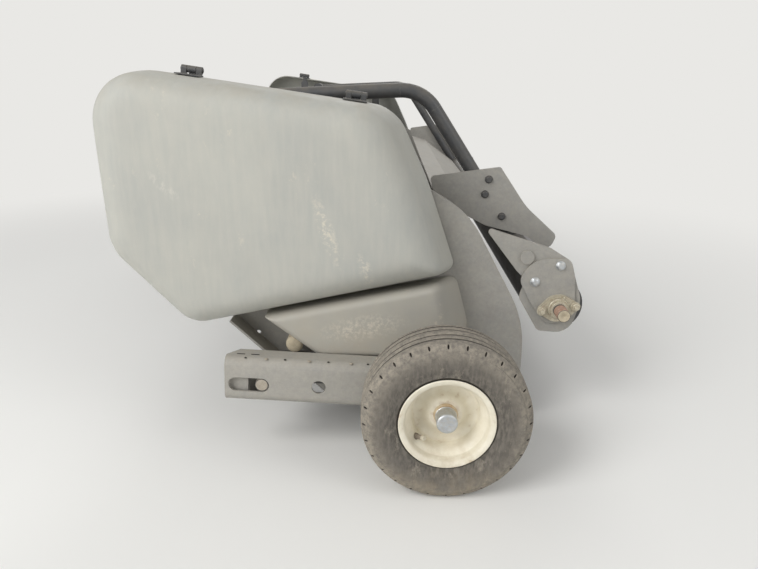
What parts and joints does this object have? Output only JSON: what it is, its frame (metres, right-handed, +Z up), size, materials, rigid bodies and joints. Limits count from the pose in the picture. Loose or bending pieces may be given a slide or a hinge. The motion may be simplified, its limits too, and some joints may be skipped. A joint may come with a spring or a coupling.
{
  "type": "pickup header of a large square baler",
  "caption": "Full-width towed-baler pickup: tined reel in stripper bands, stub augers, roller windguard, gauge wheels and moulded end covers.",
  "frame": {"origin": "on the pivot axis, midway between the side plates", "axes": "+X is the direction of travel, +Y is left along the pivot axis, +Z is up"},
  "size_m": [1.264, 2.96, 0.9976],
  "materials": {
    "frame_paint": "satin grey paint, worn",
    "plate_paint": "satin grey paint, dusty",
    "crop_sheet": "crop-polished grey paint",
    "cover_plastic": "moulded, dusty",
    "spring_steel": "bright worn wire",
    "zinc_plate": "zinc plated",
    "rim_paint": "cream gloss paint, dusty",
    "tyre_rubber": "dusty ribbed rubber"
  },
  "bodies": {
    "frame": {"main_beam": "frame_paint", "top_tube": "frame_paint", "crop_floor": "crop_sheet", "stripper_bands": "crop_sheet", "side_plate_R": "plate_paint", "side_plate_L": "plate_paint", "back_sheet_R": "crop_sheet", "back_sheet_L": "crop_sheet", "lower_panel_R": "cover_plastic", "lower_panel_L": "cover_plastic", "cover_stays_R": "frame_paint", "cover_stays_L": "frame_paint", "arm_bracket_R": "frame_paint", "arm_bracket_L": "frame_paint"},
    "reel": {"reel_core": "frame_paint", "reel_tines": "spring_steel"},
    "windguard": {"windguard_tube": "frame_paint", "crop_guide": "plate_paint", "lift_tube_R": "frame_paint", "lift_tube_L": "frame_paint", "cheek_plate_R": "plate_paint", "cheek_plate_L": "plate_paint", "roller_plate_R": "plate_paint", "roller_plate_L": "plate_paint", "bearing_plate_R": "plate_paint", "bearing_plate_L": "plate_paint", "roller_bearing_R": "zinc_plate", "roller_bearing_L": "zinc_plate"},
    "guard_roller": {"guard_roller": "frame_paint"},
    "auger_R": {"auger_R": "crop_sheet"},
    "wheel_arm_R": {"wheel_arm_R": "plate_paint"},
    "wheel_R": {"wheel_rim_R": "rim_paint", "wheel_tyre_R": "tyre_rubber", "wheel_hub_R": "zinc_plate"},
    "end_cover_R": {"end_cover_R": "cover_plastic", "cover_hinge_R": "zinc_plate"},
    "auger_L": {"auger_L": "crop_sheet"},
    "wheel_arm_L": {"wheel_arm_L": "plate_paint"},
    "wheel_L": {"wheel_rim_L": "rim_paint", "wheel_tyre_L": "tyre_rubber", "wheel_hub_L": "zinc_plate"},
    "end_cover_L": {"end_cover_L": "cover_plastic", "cover_hinge_L": "zinc_plate"}
  },
  "joints": [
    {"name": "reel_spin", "type": "hinge", "parent": "frame", "child": "reel", "pos_m": [0.59, 0, -0.38], "axis": [0, -1, 0], "continuous": true},
    {"name": "windguard_lift", "type": "hinge", "parent": "frame", "child": "windguard", "pos_m": [0.12, 0, 0.215], "axis": [0, -1, 0], "range_deg": [0, 30]},
    {"name": "guard_roller_spin", "type": "hinge", "parent": "windguard", "child": "guard_roller", "pos_m": [0.98, 0, -0.339], "axis": [0, -1, 0], "continuous": true},
    {"name": "auger_spin_R", "type": "hinge", "parent": "frame", "child": "auger_R", "pos_m": [0.33, 0, 0.005], "axis": [0, -1, 0], "continuous": true},
    {"name": "wheel_height_R", "type": "hinge", "parent": "frame", "child": "wheel_arm_R", "pos_m": [0.188, 0, -0.487], "axis": [0, -1, 0], "range_deg": [-9, 4.5]},
    {"name": "wheel_spin_R", "type": "hinge", "parent": "wheel_arm_R", "child": "wheel_R", "pos_m": [0.65, 0, -0.497], "axis": [0, -1, 0], "continuous": true},
    {"name": "cover_swing_R", "type": "hinge", "parent": "frame", "child": "end_cover_R", "pos_m": [0.02, -1.103, 0.28507], "axis": [-0.9894, 0, 0.1453], "range_deg": [0, 75]},
    {"name": "auger_spin_L", "type": "hinge", "parent": "frame", "child": "auger_L", "pos_m": [0.33, 0, 0.005], "axis": [0, -1, 0], "continuous": true},
    {"name": "wheel_height_L", "type": "hinge", "parent": "frame", "child": "wheel_arm_L", "pos_m": [0.188, 0, -0.487], "axis": [0, -1, 0], "range_deg": [-9, 4.5]},
    {"name": "wheel_spin_L", "type": "hinge", "parent": "wheel_arm_L", "child": "wheel_L", "pos_m": [0.65, 0, -0.497], "axis": [0, -1, 0], "continuous": true},
    {"name": "cover_swing_L", "type": "hinge", "parent": "frame", "child": "end_cover_L", "pos_m": [0.02, 1.103, 0.28507], "axis": [0.9894, 0, -0.1453], "range_deg": [0, 75]}
  ]
}
